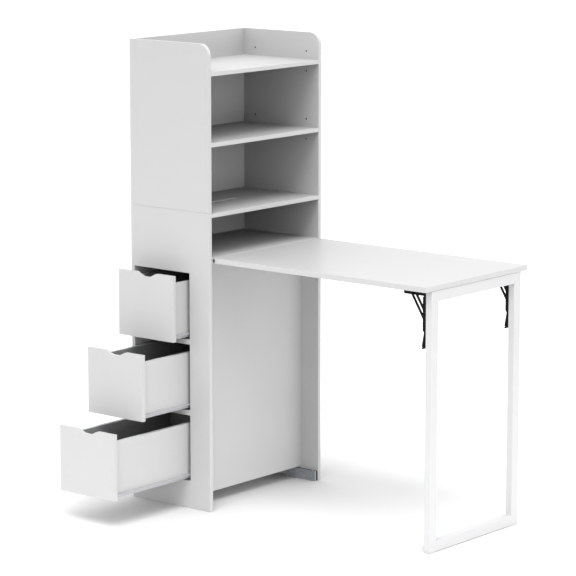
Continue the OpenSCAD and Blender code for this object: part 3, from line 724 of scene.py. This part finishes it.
def floor_paint(colour):
    """Matt white paint of the studio floor with a painted contact shadow, a glow that only the object meets, and a
    painted glow that only the camera, gloss and glass see.
    """
    material, tree = new_material("painted_floor")
    overhead = add_node(tree, "ShaderNodeAmbientOcclusion", {"samples": 4, "Distance": OVERHEAD})
    contact_shade = add_node(tree, "ShaderNodeAmbientOcclusion", {"samples": 8, "Distance": CONTACT_SHADE_REACH})

    # Painted contact shadow: the paint is darker where something stands on the floor
    tone = add_node(tree, "ShaderNodeMapRange", {"From Min": 0.0, "From Max": SHADOW_FREE_OPENNESS, "To Min": CONTACT_SHADE_TONE, "To Max": 1.0},
                    {"Value": contact_shade.outputs["AO"]})
    shaded_colour = add_node(tree, "ShaderNodeVectorMath", {"operation": "SCALE", 0: colour},
                     {"Scale": tone.outputs["Result"]})
    paint = add_node(tree, "ShaderNodeBsdfDiffuse", (), {"Color": shaded_colour.outputs["Vector"]})

    # To the object the floor glows as a pool of light some metres wide, less where something stands over it
    place = add_node(tree, "ShaderNodeNewGeometry")
    away = add_node(tree, "ShaderNodeVectorMath", {"operation": "LENGTH"}, {0: place.outputs["Position"]})
    pool = add_node(tree, "ShaderNodeMapRange", {"interpolation_type": "SMOOTHSTEP", "From Min": POOL[0],
                                                 "From Max": POOL[1], "To Min": 1.0, "To Max": 0.0},
                    {"Value": away.outputs["Value"]})
    fade = add_node(tree, "ShaderNodeMath", {"operation": "POWER", 1: FLOOR_FADE}, {0: overhead.outputs["AO"]})
    level = add_node(tree, "ShaderNodeMath", {"operation": "MULTIPLY"},
                     {0: pool.outputs["Result"], 1: fade.outputs["Value"]})
    strength = add_node(tree, "ShaderNodeMath", {"operation": "MULTIPLY", 1: FLOOR_GLOW},
                        {0: level.outputs["Value"]})
    glow = add_node(tree, "ShaderNodeEmission", {"Color": WHITE}, {"Strength": strength.outputs["Value"]})
    to_object = add_node(tree, "ShaderNodeAddShader", (), {0: paint.outputs["BSDF"], 1: glow.outputs["Emission"]})

    # To the camera, gloss and glass the open floor glows a little whiter with painted light that fades near the
    # object, so that only the nearer shadow shows
    clear = add_node(tree, "ShaderNodeMath", {"operation": "POWER", 1: CAMERA_GLOW_FADE}, {0: overhead.outputs["AO"]})
    camera_glow_strength = add_node(tree, "ShaderNodeMath", {"operation": "MULTIPLY", 1: CAMERA_GLOW}, {0: clear.outputs["Value"]})
    camera_glow = add_node(tree, "ShaderNodeEmission", {"Color": WHITE}, {"Strength": camera_glow_strength.outputs["Value"]})
    to_camera = add_node(tree, "ShaderNodeAddShader", (), {0: paint.outputs["BSDF"], 1: camera_glow.outputs["Emission"]})

    rays = add_node(tree, "ShaderNodeLightPath")
    direct = add_node(tree, "ShaderNodeMath", {"operation": "MAXIMUM"},
                      {0: rays.outputs["Is Camera Ray"], 1: rays.outputs["Is Glossy Ray"]})
    seen = add_node(tree, "ShaderNodeMath", {"operation": "MAXIMUM"},
                    {0: direct.outputs["Value"], 1: rays.outputs["Is Transmission Ray"]})
    floor = add_node(tree, "ShaderNodeMixShader", (), {0: seen.outputs["Value"], 1: to_object.outputs["Shader"],
                                                       2: to_camera.outputs["Shader"]})
    add_node(tree, "ShaderNodeOutputMaterial", (), {"Surface": floor.outputs["Shader"]})
    return material


def white_room():
    """An even white room, pure white to the camera and a little dimmer on the object.

    It doesn't light what is met by way of two other surfaces or more, so that deep shelves and open drawers keep
    their shade.
    """
    world = bpy.data.worlds.new("white_studio")
    world.use_nodes = True
    tree = world.node_tree
    tree.nodes.clear()
    rays = add_node(tree, "ShaderNodeLightPath")
    near = add_node(tree, "ShaderNodeMath", {"operation": "LESS_THAN", 1: FILL_DEPTH},
                    {0: rays.outputs["Ray Depth"]})
    level = add_node(tree, "ShaderNodeMath", {"operation": "MULTIPLY", 1: FILL}, {0: near.outputs["Value"]})
    fill = add_node(tree, "ShaderNodeBackground", {"Color": WHITE}, {"Strength": level.outputs["Value"]})
    backdrop = add_node(tree, "ShaderNodeBackground", {"Color": WHITE, "Strength": 1.0})
    room = add_node(tree, "ShaderNodeMixShader", (), {0: rays.outputs["Is Camera Ray"],
                                                      1: fill.outputs["Background"],
                                                      2: backdrop.outputs["Background"]})
    add_node(tree, "ShaderNodeOutputWorld", (), {"Surface": room.outputs["Shader"]})
    return world


def aimed(name, data, place, direction):
    """A lamp or camera in the scene at this place, pointing in this direction."""
    holder = bpy.data.objects.new(name, data)
    holder.location = place
    holder.rotation_mode = "QUATERNION"
    holder.rotation_quaternion = direction.to_track_quat("-Z", "Y")
    bpy.context.scene.collection.objects.link(holder)
    return holder


class Studio(bpy.types.Operator):
    """Set the white studio, its lamps and the camera"""

    bl_idname = "desk_cabinet.studio"
    bl_label = "Studio"

    def execute(self, context):
        scene, sizes, colours = context.scene, context.scene.desk_sizes, context.scene.desk_colours
        # The floor lies a hair under the object's feet
        half, depth = sizes.floor_span / 2, 0.2 * MM
        mesh = bmesh.new()
        mesh.faces.new([mesh.verts.new((x, y, -depth))
                        for x, y in ((-half, -half), (half, -half), (half, half), (-half, half))])
        data = bpy.data.meshes.new("studio_floor")
        mesh.to_mesh(data)
        mesh.free()
        data.materials.append(floor_paint(colours.floor))
        floor = bpy.data.objects.new("studio_floor", data)
        scene.collection.objects.link(floor)
        scene.world = white_room()

        key = bpy.data.lights.new("key_lamp", "SUN")
        key.energy = KEY_STRENGTH
        key.angle = math.radians(KEY_SOFTNESS)
        azimuth, elevation = (math.radians(degrees) for degrees in KEY_FROM)
        towards = Vector((math.sin(azimuth) * math.cos(elevation), -math.cos(azimuth) * math.cos(elevation),
                          math.sin(elevation)))
        aimed("key_lamp", key, towards, -towards)

        card = bpy.data.lights.new("low_card", "AREA")
        card.energy = CARD_WATTS
        card.size = CARD_SIDE
        aimed("low_card", card, CARD_PLACE, CARD_AIM - CARD_PLACE).visible_camera = False
        for lamp in (key, card):
            lamp.cycles.max_bounces = LAMP_BOUNCES

        camera = bpy.data.cameras.new("camera")
        camera.lens = CAMERA_LENS
        camera.sensor_width = CAMERA_SENSOR
        camera.clip_start, camera.clip_end = CAMERA_CLIP
        scene.camera = aimed("camera", camera, CAMERA_PLACE, -CAMERA_BACK)
        scene.view_settings.view_transform = "Standard"
        return {"FINISHED"}


OPERATORS = [BoardFinish, DrawerFinish, SlideFinish, LeafFinish, LegFinish, BracketFinish, FootFinish,
             CarcassFittings, Studio]


class DeskPanel(bpy.types.Panel):
    """Sizes, colours and pieces of the desk cabinet"""

    bl_idname = "VIEW3D_PT_desk_cabinet"
    bl_label = "Desk cabinet"
    bl_space_type = "VIEW_3D"
    bl_region_type = "UI"
    bl_category = "Desk cabinet"

    def draw(self, context):
        for group in (context.scene.desk_sizes, context.scene.desk_colours):
            box = self.layout.box()
            for key in group.__annotations__:
                box.prop(group, key)
        for operator in OPERATORS:
            self.layout.operator(operator.bl_idname)


CLASSES = [DeskSizes, DeskColours, *OPERATORS, DeskPanel]


def register():
    for cls in CLASSES:
        bpy.utils.register_class(cls)
    bpy.types.Scene.desk_sizes = bpy.props.PointerProperty(type=DeskSizes)
    bpy.types.Scene.desk_colours = bpy.props.PointerProperty(type=DeskColours)


def unregister():
    del bpy.types.Scene.desk_colours
    del bpy.types.Scene.desk_sizes
    for cls in reversed(CLASSES):
        bpy.utils.unregister_class(cls)


def main():
    """Builds everything in order."""
    register()
    for operator in OPERATORS:
        group, name = operator.bl_idname.split(".")
        getattr(getattr(bpy.ops, group), name)()


if __name__ == "__main__":
    main()
